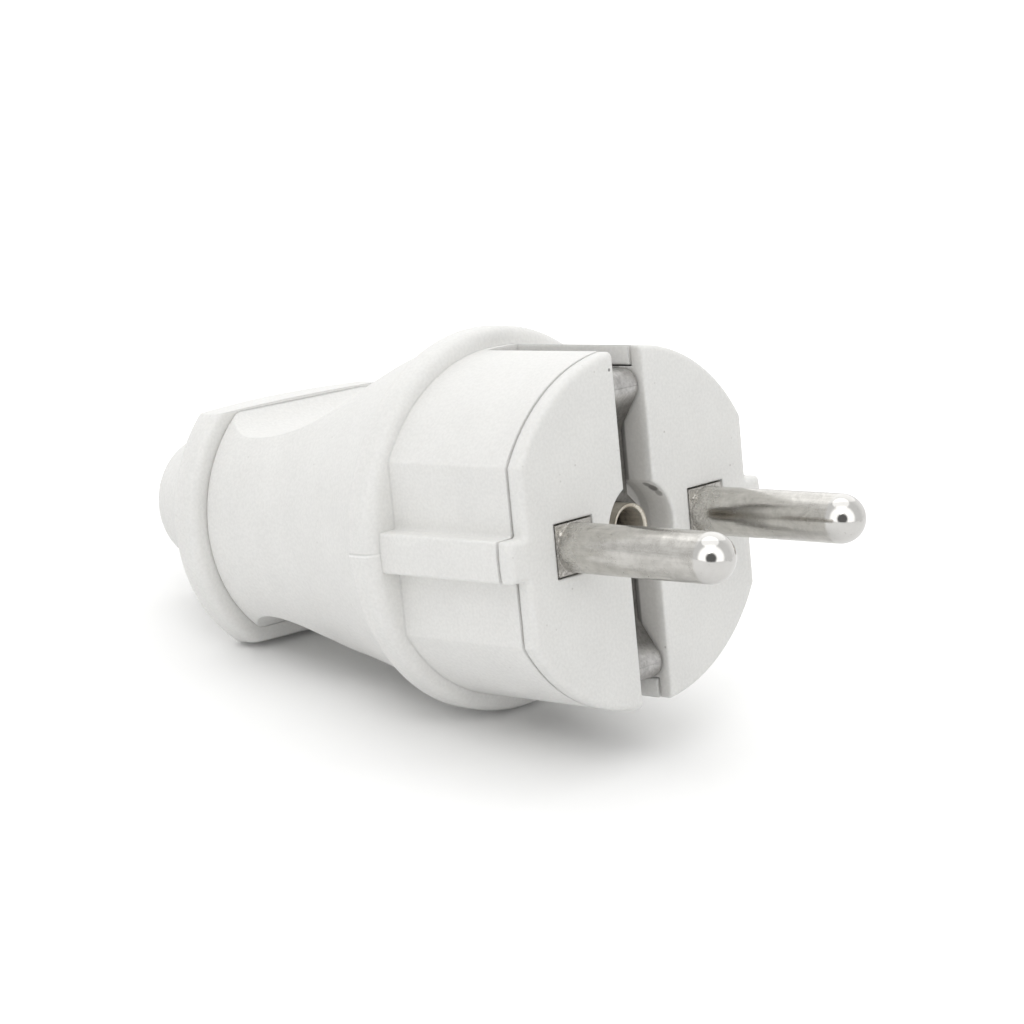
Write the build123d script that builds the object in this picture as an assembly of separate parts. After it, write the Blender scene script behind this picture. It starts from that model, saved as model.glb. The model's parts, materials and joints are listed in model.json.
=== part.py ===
from build123d import *
import math
import os

# A rewirable earthed plug. It is modelled along its own axis, in millimetres: X runs forward
# through the pins, Y to the side, Z up, and the flat of the face is at X = 0.

# Face and barrel outline: two halves, each an arc struck a little off the axis
arc_radius = 17.5
arc_offset = 0.6
side_flat = 15.9
rib_width = 4.0
outline_round = 0.3
face_thickness = 1.5
face_edge = 0.6
parting_gap = 0.3
barrel_wall = 1.9
barrel_length = 17.7
slot_width = 4.2
slot_depth = 4.15
slot_edge = 0.25
recess_radius = 4.65

# Contact pins
pin_radius = 2.4
pin_length = 19.0
pin_spacing = 19.0
shank_side = 4.9
shank_length = 9.0
shank_clearance = 0.2
terminal_side = 6.4
terminal_length = 8.0
wire_bore_radius = 1.8
wire_bore_depth = 11.0

# Terminal screws and wire plates
screw_radius = 1.5
screw_head_radius = 2.2
screw_head_height = 1.1
screw_slot = 0.6
thread_clearance = 0.05
terminal_screw_from_end = 3.6
wire_plate_thickness = 0.5
wire_plate_width = 2.2
wire_plate_length = 5.0
wire_plate_offset = 0.7
wire_plate_gap = 0.05

# Earth strip, bent from flat stock
strip_width = 3.6
strip_thickness = 0.8
strip_side_height = 15.3
strip_nose_setback = 0.7
strip_bridge_reach = 9.6
strip_nose_reach = 13.2
strip_ring_across = 6.6
strip_bend = 1.3
strip_top_length = 15.5
strip_tail_rise = 6.0
strip_seat_gap = 0.05
earth_screw_height = 11.6
earth_washer_radius = 2.9
earth_washer_thickness = 0.8
earth_nut_side = 4.4
earth_nut_thickness = 1.6

# Centre sleeve, with the assembly screw sunk in it and the screw's nut
sleeve_outer_radius = 2.35
sleeve_bore_radius = 1.95
sleeve_setback = 1.5
sleeve_step = 13.0
sleeve_floor = 1.0
sleeve_tail_radius = 1.95
sleeve_rear = 16.5
sleeve_mouth = 0.2
sleeve_clearance = 0.05
assembly_screw_radius = 1.25
assembly_head_radius = 1.85
assembly_head_height = 1.6
assembly_screw_excess = 0.8
assembly_hole_clearance = 0.1
assembly_nut_across = 5.0
assembly_nut_thickness = 2.0
nut_clearance = 0.05
nut_recess = 0.6

# Contact carrier block and the plate that holds the pins in it
block_clearance = 0.15
block_length = 17.0
core_wall = 1.4
core_front = 3.2
retainer_thickness = 1.8
retainer_gap = 0.05
retainer_radius = 13.2
wire_hole_radius = 2.3
retainer_screw_side = 7.5
retainer_screw_height = 7.0
retainer_screw_radius = 1.1
retainer_screw_length = 6.0
retainer_head_radius = 2.1
retainer_head_height = 1.4

# Collar, flare and grip
collar_radius = 19.45
collar_width = 3.6
collar_front_round = 1.2
collar_rear_round = 0.9
flare_end = 36.0
flare_end_radius = 15.25
flare_dip = 0.35
grip_end = 48.1
grip_end_radius = 15.0
grip_end_round = 0.6
grip_wall = 3.0
rear_wall = 3.0
collar_cavity_radius = 15.6

# Finger hollows: the upper one is a long sweep, the lower one a tight groove, equally deep
hollow_low = 43.0
hollow_low_height = 9.5
hollow_rear_height = 11.7
upper_hollow_sweep = 24.0
lower_hollow_sweep = 10.5
hollow_wall = 2.2

# Bridge inside the housing for the assembly screw
bridge_gap = 0.05
bridge_setback = 1.8
bridge_thickness = 2.2
bridge_width = 6.4
boss_radius = 3.9
boss_length = 6.2

# Neck, gland cap and seal
neck_radius = 8.0
neck_bore_radius = 6.5
neck_length = 6.6
neck_lip = 1.2
neck_lip_bore_radius = 4.8
cap_gap = 0.05
cap_thread_clearance = 0.2
cap_radius = 16.6
cap_upper_flat = 12.0
cap_lower_flat = 13.3
cap_crown_radius = 300.0
cap_rim_width = 3.5
cap_edge_round = 0.8
cap_shoulder_length = 1.6
nozzle_root_radius = 9.8
nozzle_tip_radius = 7.2
nozzle_length = 14.2
nozzle_tip_round = 2.2
cable_bore_radius = 4.0
cable_bore_length = 4.2
seal_radius = 6.2
seal_bore_radius = 3.4
seal_clearance = 0.1
gland_washer_thickness = 0.9
gland_washer_bore_radius = 4.6
gland_washer_gap = 0.05

# Places along the axis that several pieces share, counted backwards from the face
barrel_front = face_thickness + parting_gap
pin_y = pin_spacing / 2
pocket_front = shank_length
retainer_front = block_length + retainer_gap
retainer_rear = retainer_front + retainer_thickness
boss_front = retainer_rear + bridge_gap
boss_rear = boss_front + boss_length
nut_front = boss_rear - nut_recess - assembly_nut_thickness
bridge_front = boss_front + bridge_setback
bridge_rear = bridge_front + bridge_thickness
strip_tail_rear = retainer_rear + strip_seat_gap + strip_thickness
earth_nut_rear = strip_tail_rear - strip_thickness - thread_clearance
earth_nut_front = earth_nut_rear - earth_nut_thickness
collar_rear = barrel_length + collar_width
neck_end = grip_end + neck_length
cap_front = grip_end + cap_gap
rim_rear = cap_front + cap_rim_width
shoulder_rear = rim_rear + cap_shoulder_length
nozzle_end = shoulder_rear + nozzle_length


def cylinder_x(rear, front, radius, y=0.0, z=0.0):
    """Round bar along X between two distances behind the face."""
    disc = Plane.YZ.offset(-rear) * Pos(y, z) * Circle(radius)
    return extrude(disc, rear - front)


def box_x(rear, front, half_y, low_z, high_z, y=0.0):
    """Block between two distances behind the face and two heights."""
    middle = Pos(y, (low_z + high_z) / 2) * Rectangle(2 * half_y, high_z - low_z)
    return extrude(Plane.YZ.offset(-rear) * middle, rear - front)


def turned(outline):
    """Solid of revolution about the plug's axis from a face in the XY plane."""
    return revolve(make_face(outline), Axis.X, 360)


def round_outline(inset):
    """Both arcs of the body, without the side flats."""
    radius = arc_radius - inset
    half_plane = Pos(2 * arc_radius, 0) * Rectangle(4 * arc_radius, 4 * arc_radius)
    right = Pos(arc_offset, 0) * Circle(radius) & half_plane
    return right + mirror(right, about=Plane.YZ)


def rib_height():
    """How far a guide rib stands out from the flat beside it."""
    return arc_offset + math.sqrt(arc_radius ** 2 - (rib_width / 2) ** 2) - side_flat


def body_outline(inset=0.0):
    """Outline of the face and the barrel, with the guide ribs at its sides."""
    tall = 4 * arc_radius
    flats = Rectangle(2 * (side_flat - inset), tall)
    ribs = Rectangle(tall, rib_width - 2 * inset)
    outline = round_outline(inset) & (flats + ribs)
    # The rounds at a rib's root and crest leave a third of its height flat
    return fillet(outline.vertices(), min(outline_round, rib_height() / 3))


def cavity_outline(inset):
    """Outline of the room inside the barrel: flats, but no ribs."""
    return round_outline(inset) & Rectangle(2 * (side_flat - inset), 4 * arc_radius)


def slotted_head(rear, front, radius, slot, y=0.0, z=0.0):
    """Low cylinder head along X with a driver slot in its rear face."""
    head = cylinder_x(rear, front, radius, y, z)
    depth = (rear - front) / 2
    return head - box_x(rear, rear - depth, slot / 2, z - radius, z + radius, y)


def strip_channels(half_width, floor, rear):
    """Grooves above and below for the side contacts of the earth strip."""
    top = box_x(rear, 0, half_width, floor, 2 * arc_radius)
    return top + mirror(top, about=Plane.XY)


def carrier_cores():
    """Hollowed corners of the block, open behind, around a boss for each retainer screw."""
    depth = block_length - core_front
    inset = barrel_wall + block_clearance + core_wall
    core = extrude(Plane.YZ.offset(-block_length) * cavity_outline(inset), depth)
    core -= box_x(block_length, core_front, slot_width / 2 + core_wall, -2 * arc_radius, 2 * arc_radius)
    half = terminal_side / 2 + shank_clearance + core_wall
    core -= box_x(block_length, core_front, 2 * arc_radius, -half, half)
    for side in (-1, 1):
        core -= cylinder_x(block_length, core_front, retainer_screw_radius + core_wall,
                           side * retainer_screw_side, retainer_screw_height)
    return core


def contact_carrier():
    """Moulded face and block in one piece, with seats for pins, strip and sleeve."""
    face = extrude(Plane.YZ * body_outline(), -face_thickness)
    front_edges = face.faces().sort_by(Axis.X)[-1].outer_wire().edges()
    face = fillet(front_edges, face_edge)
    inset = barrel_wall + block_clearance
    block = extrude(Plane.YZ * cavity_outline(inset), -block_length)
    carrier = face + block - carrier_cores()
    carrier -= box_x(slot_depth, -1, slot_width / 2, -2 * arc_radius, 2 * arc_radius)
    carrier -= cylinder_x(slot_depth, -1, recess_radius)
    floor = strip_side_height - strip_thickness - strip_seat_gap
    carrier -= strip_channels(slot_width / 2, floor, block_length)
    step = sleeve_step + sleeve_clearance
    carrier -= cylinder_x(step, 0, sleeve_outer_radius + sleeve_clearance)
    carrier -= cylinder_x(block_length, step, sleeve_tail_radius + sleeve_clearance)
    hole = shank_side / 2 + shank_clearance
    pocket = terminal_side / 2 + shank_clearance
    for side in (-1, 1):
        carrier -= box_x(pocket_front, -1, hole, -hole, hole, side * pin_y)
        carrier -= box_x(block_length, pocket_front, pocket, -pocket, pocket, side * pin_y)
        window = screw_head_radius + shank_clearance
        outer_y = side * (pin_y + arc_radius / 2)
        carrier -= box_x(block_length, block_length - terminal_length, arc_radius / 2,
                         -window, window, outer_y)
        pilot = retainer_screw_radius + thread_clearance
        depth = block_length - retainer_screw_length
        carrier -= cylinder_x(block_length, depth, pilot, side * retainer_screw_side,
                              retainer_screw_height)
    mouth = [edge for edge in carrier.edges().filter_by_position(Axis.X, -0.001, 0.001)
             if abs((edge @ 0.5).Y) < recess_radius + slot_edge]
    return fillet(mouth, slot_edge)


def contact_pin(side):
    """Turned pin with a round nose, a square shank and a bored terminal end."""
    y = side * pin_y
    straight = pin_length - pin_radius
    nose_end = straight + pin_radius
    outline = [Line((0, 0), (0, pin_radius)), Line((0, pin_radius), (straight, pin_radius)),
               ThreePointArc((straight, pin_radius),
                             (straight + pin_radius * math.sqrt(0.5), pin_radius * math.sqrt(0.5)),
                             (nose_end, 0)),
               Line((nose_end, 0), (0, 0))]
    pin = Pos(0, y, 0) * turned(outline)
    half = shank_side / 2
    pin += box_x(pocket_front, 0, half, -half, half, y)
    half = terminal_side / 2
    end = pocket_front + terminal_length
    pin += box_x(end, pocket_front, half, -half, half, y)
    pin -= cylinder_x(end, end - wire_bore_depth, wire_bore_radius, y)
    hole = Pos(terminal_screw_x(), y + side * half, 0) * Rot(90, 0, 0)
    pin -= hole * Cylinder(screw_radius + thread_clearance, terminal_side)
    return pin


def terminal_screw_x():
    """Place along X of the screws in the pins' terminal ends."""
    return -(pocket_front + terminal_length - terminal_screw_from_end)


def pin_terminal_screws():
    """Slotted clamp screws, one in the outer side of each pin's terminal."""
    screws = []
    for side in (-1, 1):
        tip = pin_y + wire_plate_offset + wire_plate_thickness + wire_plate_gap
        seat = pin_y + terminal_side / 2
        shank = Cylinder(screw_radius, seat - tip, align=(Align.CENTER, Align.CENTER, Align.MIN))
        head = Cylinder(screw_head_radius, screw_head_height,
                        align=(Align.CENTER, Align.CENTER, Align.MIN))
        slot = Box(screw_slot, 2 * screw_head_radius, screw_head_height / 2,
                   align=(Align.CENTER, Align.CENTER, Align.MIN))
        head = Pos(0, 0, seat - tip) * (head - Pos(0, 0, screw_head_height / 2) * slot)
        turn = Rot(-90, 0, 0) if side > 0 else Rot(90, 0, 0)
        screws.append(Pos(terminal_screw_x(), side * tip, 0) * turn * (shank + head))
    return Compound(children=screws)


def wire_plates():
    """Small leaves that keep the screw tips off the strands."""
    plates = []
    for side in (-1, 1):
        y = side * (pin_y + wire_plate_offset + wire_plate_thickness / 2)
        leaf = Box(wire_plate_length, wire_plate_thickness, wire_plate_width)
        plates.append(Pos(terminal_screw_x(), y, 0) * leaf)
    return Compound(children=plates)


def strip_path():
    """Middle line of the earth strip's bends, in the XZ plane."""
    bridge = -(slot_depth - strip_seat_gap - strip_thickness / 2)
    nose = -(strip_nose_setback + strip_thickness / 2)
    side = strip_side_height - strip_thickness / 2
    tail = -(strip_tail_rear - strip_thickness / 2)
    return FilletPolyline(
        (-strip_top_length, 0, side), (nose, 0, side), (nose, 0, strip_nose_reach),
        (bridge, 0, strip_bridge_reach), (bridge, 0, -strip_bridge_reach),
        (nose, 0, -strip_nose_reach), (nose, 0, -side), (tail, 0, -side),
        (tail, 0, strip_tail_rise - side), radius=strip_bend)


def earth_strip():
    """One bent strip: side contact, bridge round the sleeve, side contact and terminal tab."""
    path = strip_path()
    start = Plane(path @ 0, x_dir=(0, 1, 0), z_dir=path % 0)
    strip = sweep(start * Rectangle(strip_width, strip_thickness), path)
    ring = Plane.YZ.offset(-(slot_depth - strip_seat_gap)) * Rot(0, 0, 22.5) * RegularPolygon(
        strip_ring_across / 2, 8, major_radius=False)
    strip += extrude(ring, strip_thickness)
    strip -= cylinder_x(slot_depth, 0, sleeve_outer_radius + sleeve_clearance)
    hole = screw_radius + thread_clearance
    strip -= cylinder_x(strip_tail_rear, strip_tail_rear - 2 * strip_thickness, hole,
                        z=-earth_screw_height)
    return strip


def earth_clamp_washer():
    """Washer under the earth screw's head."""
    rear = strip_tail_rear + thread_clearance + earth_washer_thickness
    front = strip_tail_rear + thread_clearance
    hole = cylinder_x(rear, front, screw_radius + thread_clearance, z=-earth_screw_height)
    return cylinder_x(rear, front, earth_washer_radius, z=-earth_screw_height) - hole


def earth_terminal_screw():
    """Slotted screw through the washer into the strip's tab."""
    seat = strip_tail_rear + earth_washer_thickness + 2 * thread_clearance
    head = slotted_head(seat + screw_head_height, seat, screw_head_radius, screw_slot,
                        z=-earth_screw_height)
    return head + cylinder_x(seat, earth_nut_front, screw_radius, z=-earth_screw_height)


def earth_terminal_nut():
    """Square nut behind the strip's tab, kept from turning by the retainer's notch."""
    half = earth_nut_side / 2
    nut = box_x(earth_nut_rear, earth_nut_front, half, -earth_screw_height - half,
                -earth_screw_height + half)
    return nut - cylinder_x(earth_nut_rear, earth_nut_front, screw_radius + thread_clearance,
                            z=-earth_screw_height)


def centre_sleeve():
    """Stepped sleeve with a bevelled mouth and an inner floor for the screw's head."""
    floor = sleeve_step - sleeve_floor
    sleeve = cylinder_x(sleeve_step, sleeve_setback, sleeve_outer_radius)
    sleeve += cylinder_x(sleeve_rear, sleeve_step, sleeve_tail_radius)
    sleeve -= cylinder_x(floor, sleeve_setback, sleeve_bore_radius)
    sleeve -= cylinder_x(sleeve_rear, floor, assembly_screw_radius + assembly_hole_clearance)
    mouth = sleeve.faces().sort_by(Axis.X)[-1].inner_wires()[0].edges()
    return chamfer(mouth, sleeve_mouth)


def assembly_screw():
    """Slotted screw deep in the sleeve, which draws the carrier into the housing."""
    seat = sleeve_step - sleeve_floor - thread_clearance
    front = seat - assembly_head_height
    head = cylinder_x(seat, front, assembly_head_radius)
    slot = box_x(front + assembly_head_height / 2, front, screw_slot / 2, -assembly_head_radius,
                 assembly_head_radius)
    tip = nut_front + assembly_nut_thickness + assembly_screw_excess
    return head - slot + cylinder_x(tip, seat, assembly_screw_radius)


def hexagon_x(rear, front, across):
    """Hexagonal bar along the axis between two distances behind the face."""
    return extrude(Plane.YZ.offset(-rear) * RegularPolygon(across / 2, 6, major_radius=False),
                   rear - front)


def assembly_nut():
    """Nut in the pocket at the rear of the housing's boss."""
    front = nut_front + nut_clearance
    nut = hexagon_x(front + assembly_nut_thickness, front, assembly_nut_across)
    return nut - cylinder_x(front + assembly_nut_thickness, front,
                            assembly_screw_radius + thread_clearance)


def pin_retainer():
    """Plate screwed behind the block, which keeps the pins from being pushed back."""
    plate = cylinder_x(retainer_rear, retainer_front, retainer_radius)
    plate -= cylinder_x(retainer_rear, retainer_front, assembly_screw_radius + assembly_hole_clearance)
    for side in (-1, 1):
        plate -= cylinder_x(retainer_rear, retainer_front, wire_hole_radius, side * pin_y)
        plate -= cylinder_x(retainer_rear, retainer_front, retainer_screw_radius + thread_clearance,
                            side * retainer_screw_side, retainer_screw_height)
    half = earth_nut_side / 2 + nut_clearance
    notch = box_x(retainer_rear, retainer_front, half, -2 * retainer_radius, -earth_screw_height + half)
    return plate - notch


def retainer_screws():
    """Two small screws that hold the retainer on the block."""
    screws = []
    for side in (-1, 1):
        y = side * retainer_screw_side
        z = retainer_screw_height
        seat = retainer_rear + thread_clearance
        tip = block_length - retainer_screw_length + thread_clearance
        head = slotted_head(seat + retainer_head_height, seat, retainer_head_radius, screw_slot, y, z)
        screws.append(head + cylinder_x(seat, tip, retainer_screw_radius, y, z))
    return Compound(children=screws)


def grip_turning():
    """Outside of the collar, flare and grip as one turned form."""
    front = -barrel_length
    rear = -collar_rear
    step = math.sqrt(0.5)
    a = collar_front_round
    b = collar_rear_round
    c = grip_end_round
    top = collar_radius
    mid_x = -(collar_rear + flare_end) / 2
    mid_r = (top - b + flare_end_radius) / 2 - flare_dip
    outline = [
        Line((front, 0), (front, top - a)),
        ThreePointArc((front, top - a), (front - a * (1 - step), top - a * (1 - step)), (front - a, top)),
        Line((front - a, top), (rear + b, top)),
        ThreePointArc((rear + b, top), (rear + b * (1 - step), top - b * (1 - step)), (rear, top - b)),
        ThreePointArc((rear, top - b), (mid_x, mid_r), (-flare_end, flare_end_radius)),
        Line((-flare_end, flare_end_radius), (c - grip_end, grip_end_radius)),
        ThreePointArc((c - grip_end, grip_end_radius),
                      (c * (1 - step) - grip_end, grip_end_radius - c * (1 - step)),
                      (-grip_end, grip_end_radius - c)),
        Line((-grip_end, grip_end_radius - c), (-grip_end, 0)),
        Line((-grip_end, 0), (front, 0))]
    return turned(outline)


def hollow_cut(sweep, depth_change=0.0):
    """Finger hollow above the grip, a round sweep with a return behind, ruled from side to side."""
    radius = sweep + depth_change
    centre = (-hollow_low, hollow_low_height + sweep)
    front = (centre[0] + radius, centre[1])
    middle = (centre[0] + radius * math.sqrt(0.5), centre[1] - radius * math.sqrt(0.5))
    low = (centre[0], centre[1] - radius)
    rear = (-grip_end, hollow_rear_height - depth_change)
    sky = centre[1] + 2 * collar_radius
    sides = Polyline(rear, (-grip_end - 1, rear[1]), (-grip_end - 1, sky), (front[0], sky), front)
    face = make_face([ThreePointArc(front, middle, low), TangentArc(low, rear, tangent=(-1, 0)), sides])
    return extrude(Plane.XZ * face, 2 * collar_radius, both=True)


def finger_hollows(depth_change=0.0):
    """Both hollows, above and below."""
    lower = mirror(hollow_cut(lower_hollow_sweep, depth_change), about=Plane.XY)
    return hollow_cut(upper_hollow_sweep, depth_change) + lower


def grip_cavity():
    """Room inside the grip, walled evenly under the hollows."""
    radius = flare_end_radius - grip_wall
    end_radius = grip_end_radius - grip_wall
    inner_end = grip_end - rear_wall
    outline = Polyline((-barrel_length + 1, 0), (-barrel_length + 1, collar_cavity_radius),
                       (-collar_rear - 1, collar_cavity_radius), (-flare_end, radius),
                       (-inner_end, end_radius), (-inner_end, 0), close=True)
    return turned(outline) - finger_hollows(hollow_wall)


def housing():
    """Moulded shell in one piece: barrel, ribs, collar, grip, neck and inner bridge."""
    barrel = extrude(Plane.YZ.offset(-barrel_front) * body_outline(), -(barrel_length + 1 - barrel_front))
    shell = barrel + grip_turning() - finger_hollows()
    room = extrude(Plane.YZ.offset(-barrel_front) * cavity_outline(barrel_wall),
                   -(barrel_length + 1 - barrel_front))
    shell -= room
    shell -= strip_channels(slot_width / 2, arc_radius / 2, block_length - parting_gap)
    shell -= grip_cavity()
    shell += cylinder_x(neck_end, grip_end, neck_radius)
    shell -= cylinder_x(neck_end - neck_lip, grip_end - rear_wall - 1, neck_bore_radius)
    shell -= cylinder_x(neck_end, neck_end - neck_lip, neck_lip_bore_radius)
    arm = box_x(bridge_rear, bridge_front, bridge_width / 2, -boss_radius,
                collar_cavity_radius + 1) & cylinder_x(bridge_rear, bridge_front, collar_cavity_radius + 1)
    shell += arm + cylinder_x(boss_rear, boss_front, boss_radius)
    shell -= hexagon_x(boss_rear, nut_front, assembly_nut_across + 2 * nut_clearance)
    return shell - cylinder_x(boss_rear, boss_front, assembly_screw_radius + assembly_hole_clearance)


def cap_turning():
    """Outside of the gland cap: rim, shoulder and tapered nozzle with a round end."""
    front = -cap_front
    rear = -rim_rear
    e = cap_edge_round
    step = 1 - math.sqrt(0.5)
    t = nozzle_tip_round
    end = -nozzle_end
    tip = nozzle_tip_radius
    outline = [
        Line((front, 0), (front, cap_radius - e)),
        ThreePointArc((front, cap_radius - e), (front - e * step, cap_radius - e * step),
                      (front - e, cap_radius)),
        Line((front - e, cap_radius), (rear + e, cap_radius)),
        ThreePointArc((rear + e, cap_radius), (rear + e * step, cap_radius - e * step),
                      (rear, cap_radius - e)),
        Line((rear, cap_radius - e), (-shoulder_rear, nozzle_root_radius)),
        Line((-shoulder_rear, nozzle_root_radius), (end + t, tip)),
        ThreePointArc((end + t, tip), (end + t * step, tip - t * step), (end, tip - t)),
        Line((end, tip - t), (end, 0)),
        Line((end, 0), (front, 0))]
    return turned(outline)


def gland_cap():
    """Moulded cap that screws on the neck, flattened above and below."""
    cap = cap_turning()
    for way, flat in ((1, cap_upper_flat), (-1, cap_lower_flat)):
        cap &= cylinder_x(nozzle_end + 1, cap_front - 1, cap_crown_radius, z=way * (flat - cap_crown_radius))
    thread_end = neck_end + cap_gap
    cap -= cylinder_x(thread_end, cap_front, neck_radius + cap_thread_clearance)
    seat = nozzle_end - cable_bore_length
    cap -= cylinder_x(seat, thread_end, seal_radius + seal_clearance)
    return cap - cylinder_x(nozzle_end, seat, cable_bore_radius)


def gland_washer():
    """Slip washer between the neck and the rubber seal."""
    front = neck_end + gland_washer_gap
    rear = front + gland_washer_thickness
    washer = cylinder_x(rear, front, seal_radius)
    return washer - cylinder_x(rear, front, gland_washer_bore_radius)


def gland_seal():
    """Rubber bush that the cap squeezes round the cord."""
    rear = nozzle_end - cable_bore_length - gland_washer_gap
    front = neck_end + gland_washer_thickness + 2 * gland_washer_gap
    return cylinder_x(rear, front, seal_radius) - cylinder_x(rear, front, seal_bore_radius)


def lying_angle():
    """Angle at which the collar and the cap's lower rear edge both touch a table."""
    shoulder = cap_radius - cap_edge_round
    share = (shoulder - cap_lower_flat) / (shoulder - nozzle_root_radius)
    run = rim_rear + share * cap_shoulder_length - collar_rear + collar_rear_round
    rise = (collar_radius - collar_rear_round) - cap_lower_flat
    reach = math.hypot(run, rise)
    return math.atan2(rise, run) + math.asin(collar_rear_round / reach)


pieces = {
    "contact_carrier": contact_carrier(),
    "housing": housing(),
    "gland_cap": gland_cap(),
    "contact_pin_right": contact_pin(-1),
    "contact_pin_left": contact_pin(1),
    "earth_strip": earth_strip(),
    "centre_sleeve": centre_sleeve(),
    "assembly_screw": assembly_screw(),
    "assembly_nut": assembly_nut(),
    "pin_retainer": pin_retainer(),
    "retainer_screws": retainer_screws(),
    "pin_terminal_screws": pin_terminal_screws(),
    "wire_plates": wire_plates(),
    "earth_terminal_screw": earth_terminal_screw(),
    "earth_clamp_washer": earth_clamp_washer(),
    "earth_terminal_nut": earth_terminal_nut(),
    "gland_seal": gland_seal(),
    "gland_washer": gland_washer(),
}

# The plug lies on its collar and cap with its pins raised, and stands over the origin
tilt = Rot(0, -math.degrees(lying_angle()), 0)
laid = {name: tilt * piece for name, piece in pieces.items()}
box = Compound(children=[piece.moved(Location()) for piece in laid.values()]).bounding_box()
shift = Pos(-box.center().X, -box.center().Y, -box.min.Z)
os.makedirs("parts", exist_ok=True)
for name, piece in laid.items():
    export_step(shift * piece, f"parts/{name}.step")
print("lying angle", round(math.degrees(lying_angle()), 3))
print("length, width, height", box.size)
print("shift", shift.position)
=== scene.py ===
import bpy
import json
import math
from mathutils import Matrix, Vector

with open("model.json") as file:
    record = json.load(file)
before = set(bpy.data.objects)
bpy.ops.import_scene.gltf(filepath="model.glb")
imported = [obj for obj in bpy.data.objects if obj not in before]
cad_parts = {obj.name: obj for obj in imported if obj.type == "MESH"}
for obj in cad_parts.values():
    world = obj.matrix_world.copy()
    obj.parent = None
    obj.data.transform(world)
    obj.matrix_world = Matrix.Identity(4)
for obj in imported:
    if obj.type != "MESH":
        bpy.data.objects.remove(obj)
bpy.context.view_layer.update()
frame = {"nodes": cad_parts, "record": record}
nodes = frame["nodes"]

# Contact carrier: the plug's white face and the block behind it, one moulding in a hard white plastic.
# It slides into the shell, and the pins, the earth strip and the centre sleeve are seated in it. The
# walls of its slot and round recess carry painted shade.

# The plug's own axes are read from its pins: forward out of the face, then to the side and up. They
# start in the middle of the face. The plug lies nose up, so they lean back a little.
mm = 0.001
pins = {mount["name"]: mount for mount in frame["record"]["mounts"]}
forward = Vector(pins["pin_left"]["axis"]).normalized()
side = Vector((0.0, 1.0, 0.0))
upward = forward.cross(side)
between_pins = (Vector(pins["pin_left"]["pos_m"]) + Vector(pins["pin_right"]["pos_m"])) / 2
face_middle = between_pins - forward * pins["pin_left"]["dims"]["length_mm"] * mm / 2
plug_axes = Matrix((forward, side, upward)).transposed().to_4x4()
plug_axes.translation = face_middle


def add(tree, kind, settings=None, values=None):
    """Adds one shader node, with its settings and the values of its sockets."""
    node = tree.nodes.new(kind)
    for key, value in (settings or {}).items():
        setattr(node, key, value)
    for key, value in (values or {}).items():
        node.inputs[key].default_value = value
    return node


def feed(tree, value, socket):
    """Joins another node's output to a socket, or gives the socket a plain value."""
    if isinstance(value, bpy.types.NodeSocket):
        tree.links.new(value, socket)
    else:
        socket.default_value = value


def join(tree, way, first, second):
    """Joins two values by one sum, such as MULTIPLY, ADD or MAXIMUM."""
    node = add(tree, "ShaderNodeMath", {"operation": way})
    feed(tree, first, node.inputs[0])
    feed(tree, second, node.inputs[1])
    return node.outputs[0]


def ramp(tree, value, start, end, at_start, at_end):
    """A value that runs evenly from at_start to at_end, and is held outside that stretch."""
    node = add(tree, "ShaderNodeMapRange", values={
        "From Min": start, "From Max": end, "To Min": at_start, "To Max": at_end})
    feed(tree, value, node.inputs["Value"])
    return node.outputs["Result"]


def blend(tree, amount, first, second):
    """A colour between two others. The mix node's colour sockets go by number, as names repeat there."""
    factor_in, first_in, second_in, color_out = 0, 6, 7, 2
    node = add(tree, "ShaderNodeMix", {"data_type": "RGBA"})
    feed(tree, amount, node.inputs[factor_in])
    feed(tree, first, node.inputs[first_in])
    feed(tree, second, node.inputs[second_in])
    return node.outputs[color_out]


def new_group(name, inputs, outputs):
    """An empty shader node group with named sockets; gives back the group and its two ends."""
    group = bpy.data.node_groups.new(name, "ShaderNodeTree")
    for sockets, way in ((inputs, "INPUT"), (outputs, "OUTPUT")):
        for socket_name, kind in sockets.items():
            group.interface.new_socket(socket_name, in_out=way, socket_type="NodeSocket" + kind)
    return group, group.nodes.new("NodeGroupInput").outputs, group.nodes.new("NodeGroupOutput").inputs


# Where a point lies on the plug, in millimetres: the whole place, its three parts, and how far it is
# from the plug's middle line. Marks and wear that sit in one spot are drawn by it.
plug_place, _, placed = new_group("plug_place", {}, {
    "Place": "Vector", "Forward": "Float", "Side": "Float", "Up": "Float", "Off Axis": "Float"})
point = add(plug_place, "ShaderNodeTexCoord").outputs["Object"]
from_face = add(plug_place, "ShaderNodeVectorMath", {"operation": "SUBTRACT"}, {1: face_middle})
feed(plug_place, point, from_face.inputs[0])
whole = add(plug_place, "ShaderNodeCombineXYZ")
flat = add(plug_place, "ShaderNodeCombineXYZ")
for name, letter, axis in (("Forward", "X", forward), ("Side", "Y", side), ("Up", "Z", upward)):
    along = add(plug_place, "ShaderNodeVectorMath", {"operation": "DOT_PRODUCT"}, {1: axis / mm})
    feed(plug_place, from_face.outputs[0], along.inputs[0])
    feed(plug_place, along.outputs["Value"], placed[name])
    feed(plug_place, along.outputs["Value"], whole.inputs[letter])
    if name != "Forward":
        feed(plug_place, along.outputs["Value"], flat.inputs[letter])
off_axis = add(plug_place, "ShaderNodeVectorMath", {"operation": "LENGTH"})
feed(plug_place, flat.outputs[0], off_axis.inputs[0])
feed(plug_place, off_axis.outputs["Value"], placed["Off Axis"])
feed(plug_place, whole.outputs[0], placed["Place"])


def where_on_plug(tree):
    """The outputs that say where a point lies on the plug."""
    return add(tree, "ShaderNodeGroup", {"node_tree": plug_place}).outputs


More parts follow.
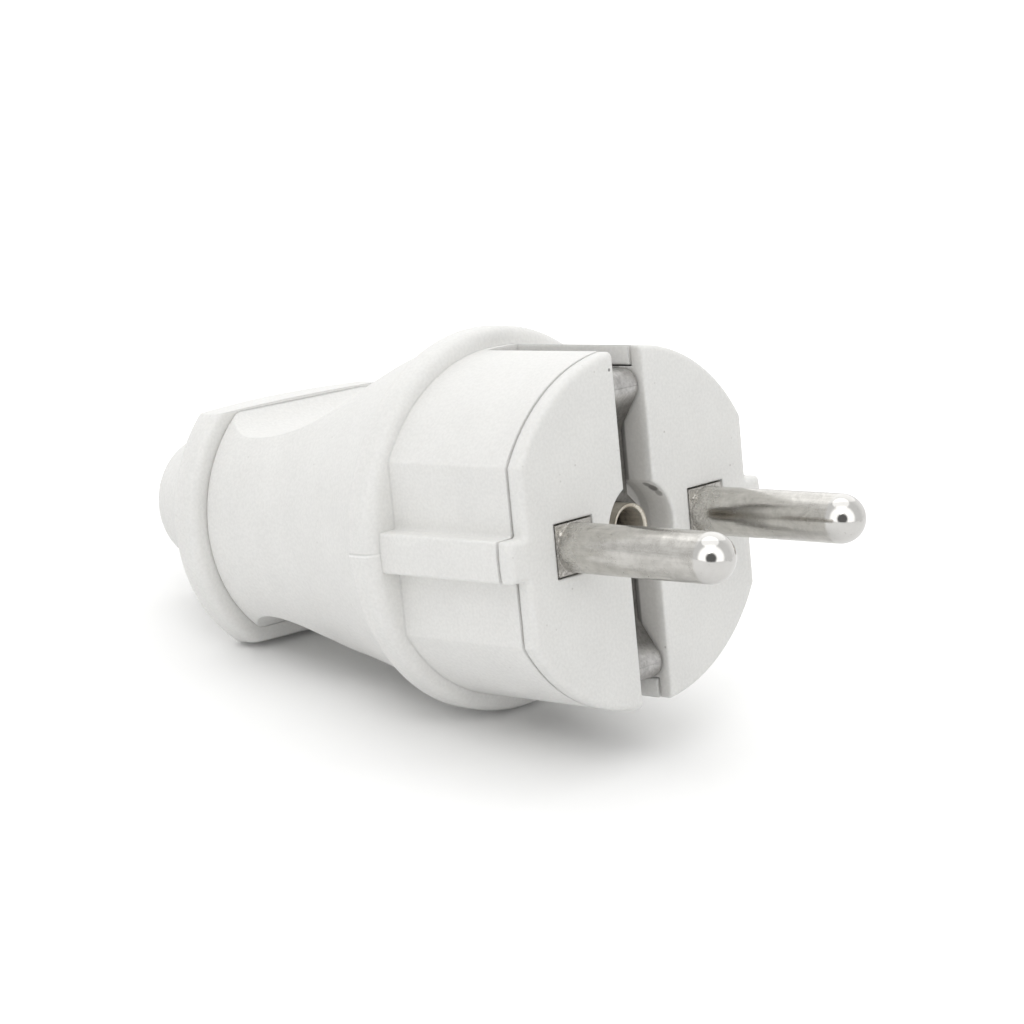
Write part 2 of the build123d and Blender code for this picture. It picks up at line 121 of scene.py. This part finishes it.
# The moulded skin: fine grain, faint cloudiness, dust specks caught in the moulding, and edges that the
# tool has rounded. Lengths here count in millimetres along the plug, so a scale is waves per millimetre.
moulded_skin, given, made = new_group(
    "moulded_skin",
    {"Color": "Color", "Grain": "Float", "Specks": "Float", "Relief": "Float"},
    {"Color": "Color", "Roughness": "Float", "Normal": "Vector"})
speck_color = (0.36, 0.34, 0.31, 1.0)
cloud_span, cloud_tone, cloud_roughness = (0.3, 0.7), (0.975, 1.015), (0.4, 0.52)
grain_span, grain_tone = (0.35, 0.65), (0.96, 1.02)
tool_radius = 0.35 * mm
grain_height = 0.03 * mm
place = where_on_plug(moulded_skin)["Place"]
cloud = add(moulded_skin, "ShaderNodeTexNoise", values={"Scale": 0.2, "Detail": 3.0})
speck = add(moulded_skin, "ShaderNodeTexVoronoi", values={"Scale": 0.3})
fleck = add(moulded_skin, "ShaderNodeTexVoronoi", values={"Scale": 0.85})
grain = add(moulded_skin, "ShaderNodeTexNoise", values={"Scale": 3.2, "Detail": 3.0})
ripple = add(moulded_skin, "ShaderNodeTexNoise", values={"Scale": 0.45, "Detail": 2.0})
for texture in (cloud, speck, fleck, grain, ripple):
    feed(moulded_skin, place, texture.inputs["Vector"])

# Only a few of the cells hold a speck, picked by their random colour: large ones and small ones.
specks = 0.0
for cells, channel, rare, inner, outer, strength in ((speck, "Red", 0.86, 0.02, 0.05, 0.6),
                                                     (fleck, "Green", 0.9, 0.05, 0.11, 0.28)):
    lottery = add(moulded_skin, "ShaderNodeSeparateColor")
    feed(moulded_skin, cells.outputs["Color"], lottery.inputs[0])
    drawn = join(moulded_skin, "GREATER_THAN", lottery.outputs[channel], rare)
    dot = ramp(moulded_skin, cells.outputs["Distance"], inner, outer, strength, 0.0)
    specks = join(moulded_skin, "MAXIMUM", specks, join(moulded_skin, "MULTIPLY", dot, drawn))
specks = join(moulded_skin, "MULTIPLY", specks, given["Specks"])

shade = join(moulded_skin, "MULTIPLY",
             ramp(moulded_skin, cloud.outputs[0], *cloud_span, *cloud_tone),
             ramp(moulded_skin, grain.outputs[0], *grain_span, *grain_tone))
toned = add(moulded_skin, "ShaderNodeVectorMath", {"operation": "SCALE"})
feed(moulded_skin, given["Color"], toned.inputs[0])
feed(moulded_skin, shade, toned.inputs["Scale"])
feed(moulded_skin, blend(moulded_skin, specks, toned.outputs[0], speck_color), made["Color"])
feed(moulded_skin, ramp(moulded_skin, cloud.outputs[0], *cloud_span, *cloud_roughness), made["Roughness"])

uneven = join(moulded_skin, "ADD", grain.outputs[0], ripple.outputs[0])
rounded = add(moulded_skin, "ShaderNodeBevel", {"samples": 6}, {"Radius": tool_radius})
bump = add(moulded_skin, "ShaderNodeBump", values={"Distance": grain_height})
feed(moulded_skin, join(moulded_skin, "ADD", uneven, given["Relief"]), bump.inputs["Height"])
feed(moulded_skin, given["Grain"], bump.inputs["Strength"])
feed(moulded_skin, rounded.outputs[0], bump.inputs["Normal"])
feed(moulded_skin, bump.outputs[0], made["Normal"])


def surfaced(name, surface_group, values):
    """A material whose shader is fed by a surface group; gives back the material, shader and group."""
    material = bpy.data.materials.new(name)
    material.use_nodes = True
    tree = material.node_tree
    shader = tree.nodes["Principled BSDF"]
    surface = add(tree, "ShaderNodeGroup", {"node_tree": surface_group}, values)
    feed(tree, surface.outputs["Color"], shader.inputs["Base Color"])
    feed(tree, surface.outputs["Roughness"], shader.inputs["Roughness"])
    feed(tree, surface.outputs["Normal"], shader.inputs["Normal"])
    return material, shader, surface


def moulded(name, color, grain, specks):
    """A moulded plastic that lets a little light in; gives back its material and surface group."""
    material, shader, surface = surfaced(name, moulded_skin, {
        "Color": color, "Grain": grain, "Specks": specks, "Relief": 0.0})
    shader.inputs["Subsurface Weight"].default_value = 0.12
    shader.inputs["Subsurface Radius"].default_value = (1.0, 0.95, 0.85)
    shader.inputs["Subsurface Scale"].default_value = 1.0 * mm
    shader.inputs["IOR"].default_value = 1.48
    return material, surface


def dress(name, material):
    """Gives a carried-over piece its finish."""
    nodes[name].data.materials.clear()
    nodes[name].data.materials.append(material)


# The face is clean. The slot's and the recess's walls carry painted shade below the face's edge, darkest
# at the bottom of the slot. A crescent of painted shadow lies in the recess, and one dark dot at the
# slot's mouth.
face_color = (0.79, 0.787, 0.765, 1.0)
# The next two colours are painted shade: a greyer one for the slot's and the recess's walls, and a
# near-black one for the slot's bottom and the recess's crescent, also used for the dot at the slot's
# mouth.
wall_shade_color = (0.67, 0.66, 0.635, 1.0)
shade_and_dot_color = (0.2, 0.195, 0.185, 1.0)
slot_inside, slot_outside = 2.15, 2.25
recess_inside, recess_outside = 4.7, 4.8
slot_alone_from = 4.6
face_wall_shade_full, face_wall_shade_start = -1.2, -0.3
bottom_full, bottom_start, bottom_shade = -3.25, -3.05, 0.75
mark_core, mark_rim = 0.5, 0.8
# Marks: three painted shadow spots along the recess's crescent, and one dark dot at the slot's mouth.
shadow_and_dot_marks = (
    {"place": (-1.5, 2.85, 3.68), "reach": 0.75, "strength": 0.8},
    {"place": (-1.2, 3.25, 3.33), "reach": 0.85, "strength": 1.0},
    {"place": (-0.95, 3.75, 2.75), "reach": 0.65, "strength": 0.6},
    {"place": (0.0, -2.71, 15.74), "reach": 0.24, "strength": 0.9},
)
face_plastic, face_skin = moulded("face_plastic", face_color, grain=0.32, specks=1.0)
tree = face_plastic.node_tree
on_plug = where_on_plug(tree)
from_middle = add(tree, "ShaderNodeMath", {"operation": "ABSOLUTE"})
feed(tree, on_plug["Side"], from_middle.inputs[0])
slot_walls = ramp(tree, from_middle.outputs[0], slot_inside, slot_outside, 1.0, 0.0)
recess_walls = ramp(tree, on_plug["Off Axis"], recess_inside, recess_outside, 1.0, 0.0)
walls = join(tree, "MAXIMUM", slot_walls, recess_walls)
# Painted shade on the walls, deepening inwards from the face's edge.
wall_shade = join(tree, "MULTIPLY", walls, ramp(tree, on_plug["Forward"], face_wall_shade_full, face_wall_shade_start, 1.0, 0.0))
slot_alone = ramp(tree, on_plug["Off Axis"], slot_alone_from, recess_outside, 0.0, 1.0)
# Painted shade at the slot's bottom, then the marks: the recess's painted shadow and the dark dot.
bottom = ramp(tree, on_plug["Forward"], bottom_full, bottom_start, bottom_shade, 0.0)
shade_and_dot = join(tree, "MULTIPLY", join(tree, "MULTIPLY", walls, slot_alone), bottom)
for mark in shadow_and_dot_marks:
    away = add(tree, "ShaderNodeVectorMath", {"operation": "DISTANCE"}, {1: mark["place"]})
    feed(tree, on_plug["Place"], away.inputs[0])
    spot = ramp(tree, away.outputs["Value"],
                mark["reach"] * mark_core, mark["reach"] * mark_rim, mark["strength"], 0.0)
    shade_and_dot = join(tree, "MAXIMUM", shade_and_dot, spot)
wall_shaded = blend(tree, wall_shade, face_color, wall_shade_color)
feed(tree, blend(tree, shade_and_dot, wall_shaded, shade_and_dot_color), face_skin.inputs["Color"])
dress("contact_carrier", face_plastic)

# Contact pins: turned brass, nickel plated, with a polished round nose, a shaft that has gone cloudy
# in the plating drum, and a square shank with scuffed edges that sits in the face's square hole.

# The plating: clouds, streaks along the plug and dark pits. Polish clears them and Scuff deepens them.
plated_metal, given, made = new_group(
    "plated_metal",
    {"Light": "Color", "Dark": "Color", "Gloss": "Float", "Polish": "Float", "Scuff": "Float"},
    {"Color": "Color", "Roughness": "Float", "Normal": "Vector"})
pit_color = (0.13, 0.12, 0.11, 1.0)
patch_span, patch_depth = (0.38, 0.62), 0.6
streak_span, streak_depth = (0.32, 0.68), 0.45
scuff_span = (0.42, 0.6)
pit_span, pit_depth = (0.64, 0.7), 0.6
rough_span, rough_most = (0.3, 0.7), 0.12
streak_relief = 0.5
streak_stretch = 0.09
worn_radius = 0.2 * mm
streak_height = 0.03 * mm
place = where_on_plug(plated_metal)["Place"]
lengthwise = add(plated_metal, "ShaderNodeMapping", values={"Scale": (streak_stretch, 1.0, 1.0)})
patches = add(plated_metal, "ShaderNodeTexNoise", values={
    "Scale": 0.55, "Detail": 6.0, "Roughness": 0.66, "Distortion": 0.6})
streaks = add(plated_metal, "ShaderNodeTexNoise", values={"Scale": 2.6, "Detail": 4.0, "Roughness": 0.6})
pits = add(plated_metal, "ShaderNodeTexNoise", values={"Scale": 3.4, "Detail": 6.0, "Roughness": 0.7})
feed(plated_metal, place, lengthwise.inputs["Vector"])
feed(plated_metal, place, patches.inputs["Vector"])
feed(plated_metal, place, pits.inputs["Vector"])
feed(plated_metal, lengthwise.outputs[0], streaks.inputs["Vector"])

satin = join(plated_metal, "SUBTRACT", 1.0, given["Polish"])
scuffed = ramp(plated_metal, pits.outputs[0], *scuff_span, 0.0, 1.0)
scuffed = join(plated_metal, "MULTIPLY", scuffed, given["Scuff"])
mottle = join(plated_metal, "ADD",
              ramp(plated_metal, patches.outputs[0], *patch_span, 0.0, patch_depth),
              ramp(plated_metal, streaks.outputs[0], *streak_span, 0.0, streak_depth))
mottle = join(plated_metal, "MULTIPLY", join(plated_metal, "ADD", mottle, scuffed), satin)
pit_mask = ramp(plated_metal, pits.outputs[0], *pit_span, 0.0, pit_depth)
shade = blend(plated_metal, mottle, given["Light"], given["Dark"])
feed(plated_metal, blend(plated_metal, pit_mask, shade, pit_color), made["Color"])

rough = ramp(plated_metal, patches.outputs[0], *rough_span, 0.0, rough_most)
rough = join(plated_metal, "ADD", rough, scuffed)
rough = join(plated_metal, "ADD", given["Gloss"], rough)
feed(plated_metal, join(plated_metal, "MULTIPLY", rough, satin), made["Roughness"])

relief = join(plated_metal, "ADD",
              join(plated_metal, "MULTIPLY", streaks.outputs[0], streak_relief),
              join(plated_metal, "MULTIPLY", pits.outputs[0], given["Scuff"]))
rounded = add(plated_metal, "ShaderNodeBevel", {"samples": 4}, {"Radius": worn_radius})
bump = add(plated_metal, "ShaderNodeBump", values={"Distance": streak_height})
feed(plated_metal, join(plated_metal, "MULTIPLY", relief, satin), bump.inputs["Height"])
feed(plated_metal, rounded.outputs[0], bump.inputs["Normal"])
feed(plated_metal, bump.outputs[0], made["Normal"])


def metal(name, light, dark, gloss):
    """A plated metal, barely scuffed; gives back its material and surface group."""
    material, shader, surface = surfaced(name, plated_metal, {
        "Light": light, "Dark": dark, "Gloss": gloss, "Polish": 0.0, "Scuff": 0.15})
    shader.inputs["Metallic"].default_value = 1.0
    return material, surface


cloudy_light = (0.68, 0.665, 0.63, 1.0)
cloudy_dark = (0.485, 0.471, 0.443, 1.0)
nose_light = (0.68, 0.67, 0.65, 1.0)
nose_start, nose_full, nose_polish, nose_tint = 16.45, 16.75, 0.8, 1.2
shank_scuff, shaft_scuff = 0.75, 0.08
shank_end, shaft_start = 0.3, 2.4
nickel, plating = metal("nickel", cloudy_light, cloudy_dark, gloss=0.12)
tree = nickel.node_tree
ahead = where_on_plug(tree)["Forward"]
nose = ramp(tree, ahead, nose_start, nose_full, 0.0, nose_polish)
feed(tree, nose, plating.inputs["Polish"])
feed(tree, ramp(tree, ahead, shank_end, shaft_start, shank_scuff, shaft_scuff), plating.inputs["Scuff"])
tinted = join(tree, "MULTIPLY", nose, nose_tint)
feed(tree, blend(tree, tinted, cloudy_light, nose_light), plating.inputs["Light"])
dress("contact_pin_left", nickel)
dress("contact_pin_right", nickel)

# Terminal screws and wire plates: zinc-plated steel, one screw through the outer side of each pin's
# bored end, with a leaf under its tip that keeps it off the strands.
zinc_steel, _ = metal("zinc_steel", (0.62, 0.63, 0.64, 1.0), (0.42, 0.43, 0.45, 1.0), gloss=0.28)
dress("pin_terminal_screws", zinc_steel)
dress("wire_plates", zinc_steel)

# Earth strip: one tinned spring strip that runs through the slot. Its two folded noses stand out at the
# ends, rubbed and speckled. Down in the slot it is painted dark, as painted shade.
# The first pair of colours is painted shade, for the strip down in the slot; the second is the noses' own
# lighter, rubbed colour.
slot_shade_light = (0.34, 0.33, 0.315, 1.0)
slot_shade_dark = (0.22, 0.215, 0.205, 1.0)
strip_nose_light = (0.66, 0.65, 0.635, 1.0)
strip_nose_dark = (0.42, 0.41, 0.4, 1.0)
fold_start, fold_full = 11.6, 12.6
fold_bottom, fold_top = -2.6, -1.4
strip_metal, plating = metal("strip_metal", slot_shade_light, slot_shade_dark, gloss=0.3)
tree = strip_metal.node_tree
on_plug = where_on_plug(tree)
from_middle = add(tree, "ShaderNodeMath", {"operation": "ABSOLUTE"})
feed(tree, on_plug["Up"], from_middle.inputs[0])
# Where the noses stand out, the strip leaves its painted shade.
at_noses = join(tree, "MULTIPLY",
              ramp(tree, from_middle.outputs[0], fold_start, fold_full, 0.0, 1.0),
              ramp(tree, on_plug["Forward"], fold_bottom, fold_top, 0.0, 1.0))
feed(tree, blend(tree, at_noses, slot_shade_light, strip_nose_light), plating.inputs["Light"])
feed(tree, blend(tree, at_noses, slot_shade_dark, strip_nose_dark), plating.inputs["Dark"])
dress("earth_strip", strip_metal)

# Earth terminal: a slotted steel screw with a clamp washer, done up in a square brass nut that sits
# behind the strip's tab.
terminal_brass, _ = metal("terminal_brass", (0.62, 0.5, 0.28, 1.0), (0.45, 0.35, 0.19, 1.0), gloss=0.3)
dress("earth_terminal_screw", zinc_steel)
dress("earth_clamp_washer", zinc_steel)
dress("earth_terminal_nut", terminal_brass)

# Centre sleeve: a turned brass tube with a thin bevelled lip that stays bright, duller brass elsewhere.
# Its bore and outer wall carry painted shade, darker the deeper they go. The assembly screw sits deep
# inside it and is done up in a hexagon nut in the shell.
lip_light = (0.82, 0.785, 0.7, 1.0)
bore_shade_color = (0.035, 0.03, 0.024, 1.0)
sleeve_dark = (0.55, 0.5, 0.42, 1.0)
lip_start, lip_full = -1.85, -1.6
bore_shade_end, bore_mouth, mouth_light = -3.8, -1.9, 0.5
wall_inside, wall_outside, wall_light = 2.1, 2.25, 0.85
sleeve_wall_shade_end, sleeve_wall_unshaded = -3.6, -2.4
dull_metallic = 0.3
sleeve_brass, plating = metal("sleeve_brass", lip_light, sleeve_dark, gloss=0.22)
tree = sleeve_brass.node_tree
on_plug = where_on_plug(tree)
# Painted shade: the bore and the outer wall turn darker the deeper they lie, down to near black.
bore = ramp(tree, on_plug["Forward"], bore_shade_end, bore_mouth, 0.0, mouth_light)
lip = ramp(tree, on_plug["Forward"], lip_start, lip_full, 0.0, 1.0)
wall = join(tree, "MULTIPLY",
            ramp(tree, on_plug["Off Axis"], wall_inside, wall_outside, 0.0, wall_light),
            ramp(tree, on_plug["Forward"], sleeve_wall_shade_end, sleeve_wall_unshaded, 0.0, 1.0))
unshaded = join(tree, "MAXIMUM", join(tree, "MAXIMUM", lip, bore), wall)
feed(tree, blend(tree, unshaded, bore_shade_color, lip_light), plating.inputs["Light"])
feed(tree, ramp(tree, lip, 0.0, 1.0, dull_metallic, 1.0), tree.nodes["Principled BSDF"].inputs["Metallic"])
dress("centre_sleeve", sleeve_brass)
dress("assembly_screw", zinc_steel)
dress("assembly_nut", terminal_brass)

# Pin retainer: a plain moulded plate behind the block that keeps the pins from being pushed back. It
# is held by two small steel screws.
inner_plastic, _ = moulded("inner_plastic", (0.74, 0.73, 0.7, 1.0), grain=0.5, specks=0.4)
dress("pin_retainer", inner_plastic)
dress("retainer_screws", zinc_steel)

# Housing: one white moulding, with barrel, guide ribs, collar, grip and threaded neck. The mould's
# split left a fine line across the collar at mid height, on both sides: a crest and a groove in relief,
# with a painted highlight on the crest and painted shade in the groove.
shell_color = (0.80, 0.796, 0.775, 1.0)
crest_highlight_color = (0.92, 0.915, 0.9, 1.0)
groove_shade_color = (0.6, 0.595, 0.575, 1.0)
collar_back, collar_front = (-21.3, -21.0), (-18.2, -17.4)
crest_below, crest_above = (-0.3, -0.2), (-0.08, 0.0)
groove_below, groove_above, groove_depth = (-0.06, 0.02), (0.1, 0.18), 0.6
split_height = 4.0
white_plastic, shell_skin = moulded("white_plastic", shell_color, grain=0.34, specks=1.0)
tree = white_plastic.node_tree
on_plug = where_on_plug(tree)
on_collar = join(tree, "MULTIPLY",
                 ramp(tree, on_plug["Forward"], *collar_back, 0.0, 1.0),
                 ramp(tree, on_plug["Forward"], *collar_front, 1.0, 0.0))
crest = join(tree, "MULTIPLY",
             ramp(tree, on_plug["Up"], *crest_below, 0.0, 1.0),
             ramp(tree, on_plug["Up"], *crest_above, 1.0, 0.0))
groove = join(tree, "MULTIPLY",
              ramp(tree, on_plug["Up"], *groove_below, 0.0, groove_depth),
              ramp(tree, on_plug["Up"], *groove_above, 1.0, 0.0))
# Painted highlight on the crest and painted shade in the groove; the relief below is a bump.
crest_highlit = blend(tree, join(tree, "MULTIPLY", crest, on_collar), shell_color, crest_highlight_color)
groove_shaded = blend(tree, join(tree, "MULTIPLY", groove, on_collar), crest_highlit, groove_shade_color)
split = join(tree, "MULTIPLY",
             join(tree, "SUBTRACT", crest, groove),
             join(tree, "MULTIPLY", on_collar, split_height))
feed(tree, groove_shaded, shell_skin.inputs["Color"])
feed(tree, split, shell_skin.inputs["Relief"])
dress("housing", white_plastic)

# Gland: a steel slip washer and a black rubber bush with a faint grey bloom. Both lie in the neck, and
# the cap presses the washer on the bush.
fresh_rubber = (0.018, 0.018, 0.019, 1.0)
bloomed_rubber = (0.05, 0.05, 0.052, 1.0)
bloom_span, rubber_roughness = (0.3, 0.7), (0.55, 0.8)
pore_depth = 0.04 * mm
rubber = bpy.data.materials.new("seal_rubber")
rubber.use_nodes = True
tree = rubber.node_tree
shader = tree.nodes["Principled BSDF"]
place = where_on_plug(tree)["Place"]
bloom = add(tree, "ShaderNodeTexNoise", values={"Scale": 1.4, "Detail": 5.0})
pores = add(tree, "ShaderNodeBump", values={"Distance": pore_depth, "Strength": 0.5})
feed(tree, place, bloom.inputs["Vector"])
feed(tree, bloom.outputs[0], pores.inputs["Height"])
feed(tree, pores.outputs[0], shader.inputs["Normal"])
feed(tree, blend(tree, bloom.outputs[0], fresh_rubber, bloomed_rubber), shader.inputs["Base Color"])
feed(tree, ramp(tree, bloom.outputs[0], *bloom_span, *rubber_roughness), shader.inputs["Roughness"])
dress("gland_seal", rubber)
dress("gland_washer", zinc_steel)

# Gland cap: the same white plastic as the shell, a flanged nut flattened above and below with a
# tapered nozzle. It screws on the neck.
dress("gland_cap", white_plastic)

# The plain white table that the plug lies on. Away from the plug's soft shadow it washes out to white,
# for the camera alone, so that no more light reaches the plug.
half_table = 4
table = bpy.data.meshes.new("table")
table.from_pydata([(-half_table, -half_table, 0), (half_table, -half_table, 0),
                   (half_table, half_table, 0), (-half_table, half_table, 0)], [], [(0, 1, 2, 3)])
floor = bpy.data.objects.new("floor", table)
bpy.context.scene.collection.objects.link(floor)
paper_color = (0.88, 0.88, 0.88, 1.0)
seen_paper_color = (0.98, 0.98, 0.975, 1.0)
shadow_middle = (-0.02, -0.005, 0.0)
shadow_reach, white_from, white_strength = 0.034, 0.1, 0.26
paper = bpy.data.materials.new("paper")
paper.use_nodes = True
tree = paper.node_tree
shader = tree.nodes["Principled BSDF"]
shader.inputs["Roughness"].default_value = 0.9
shader.inputs["Specular IOR Level"].default_value = 0.0
shader.inputs["Emission Color"].default_value = (1.0, 1.0, 1.0, 1.0)
away = add(tree, "ShaderNodeVectorMath", {"operation": "DISTANCE"}, {1: shadow_middle})
feed(tree, add(tree, "ShaderNodeTexCoord").outputs["Object"], away.inputs[0])
seen = add(tree, "ShaderNodeLightPath").outputs["Is Camera Ray"]
wash = ramp(tree, away.outputs["Value"], shadow_reach, white_from, 0.0, white_strength)
feed(tree, blend(tree, seen, paper_color, seen_paper_color), shader.inputs["Base Color"])
feed(tree, join(tree, "MULTIPLY", wash, seen), shader.inputs["Emission Strength"])
table.materials.append(paper)

# The studio's white surround. In what shines it shows a bright side towards the camera, with a dark
# round patch in its middle, and the picture's background is pure white.
toward_front = Vector((0.66, -0.69, 0.26)).normalized()
plain_strength = 0.815
back_strength, side_strength, front_strength = 1.0, 0.8, 0.8
back_until, side_from, side_until, front_from = -0.5, -0.1, 0.45, 0.6
patch_outer, patch_inner, patch_strength = math.radians(27), math.radians(20), 0.1
world = bpy.data.worlds.new("studio")
bpy.context.scene.world = world
world.use_nodes = True
tree = world.node_tree
surround = tree.nodes["Background"]
surround.inputs["Color"].default_value = (1.0, 1.0, 1.0, 1.0)
turned = add(tree, "ShaderNodeVectorMath", {"operation": "DOT_PRODUCT"}, {1: toward_front})
feed(tree, add(tree, "ShaderNodeTexCoord").outputs["Generated"], turned.inputs[0])
facing = turned.outputs["Value"]
all_round = ramp(tree, facing, back_until, side_from, back_strength, side_strength)
brighter = ramp(tree, facing, side_until, front_from, 0.0, front_strength)
patch = ramp(tree, facing, math.cos(patch_outer), math.cos(patch_inner), 1.0, patch_strength)
path = add(tree, "ShaderNodeLightPath").outputs
seen = join(tree, "MAXIMUM", path["Is Camera Ray"], path["Is Glossy Ray"])
seen = join(tree, "MAXIMUM", seen, path["Is Transmission Ray"])
room = join(tree, "MULTIPLY", join(tree, "ADD", all_round, brighter), patch)
shown = join(tree, "MULTIPLY", seen, room)
lighting = join(tree, "MULTIPLY", join(tree, "SUBTRACT", 1.0, seen), plain_strength)
feed(tree, join(tree, "ADD", shown, lighting), surround.inputs["Strength"])

# Four round soft lamps, all turned to the middle of the plug: one above, one behind, a weak one on the
# left and a small one in front.
lamp_target = Vector((0, 0, 0.015))
lamps = (
    {"name": "overhead", "at": (-0.05, 0.0, 0.9), "size": 1.0, "power": 1.4},
    {"name": "back", "at": (-0.45, 0.45, 0.7), "size": 1.4, "power": 1.85},
    {"name": "left", "at": (-0.75, -0.15, 0.45), "size": 0.7, "power": 0.22},
    {"name": "front", "at": (0.27, -0.38, 0.58), "size": 0.35, "power": 0.63},
)
for lamp in lamps:
    bulb = bpy.data.lights.new(lamp["name"], "AREA")
    bulb.shape = "DISK"
    bulb.size = lamp["size"]
    bulb.energy = lamp["power"]
    light = bpy.data.objects.new(lamp["name"], bulb)
    bpy.context.scene.collection.objects.link(light)
    light.location = lamp["at"]
    light.rotation_euler = (lamp_target - Vector(lamp["at"])).to_track_quat("-Z", "Y").to_euler()

# The camera stands in front of the plug, to its right and a little above it. Its place and its three
# directions are given along the plug's own axes.
sight = bpy.data.cameras.new("camera")
sight.sensor_width = 36.0
sight.lens = 95.18
sight.clip_start = 0.01
camera = bpy.data.objects.new("camera", sight)
bpy.context.scene.collection.objects.link(camera)
right = Vector((0.70929, 0.69843, -0.0954))
up = Vector((-0.0482, 0.18307, 0.98192))
back = Vector((0.70327, -0.69187, 0.16351))
stand = Matrix((right, up, back)).transposed().to_4x4()
stand.translation = Vector((0.173871, -0.188368, 0.045234))
camera.matrix_world = plug_axes @ stand
bpy.context.scene.camera = camera
bpy.context.scene.view_settings.view_transform = "Standard"
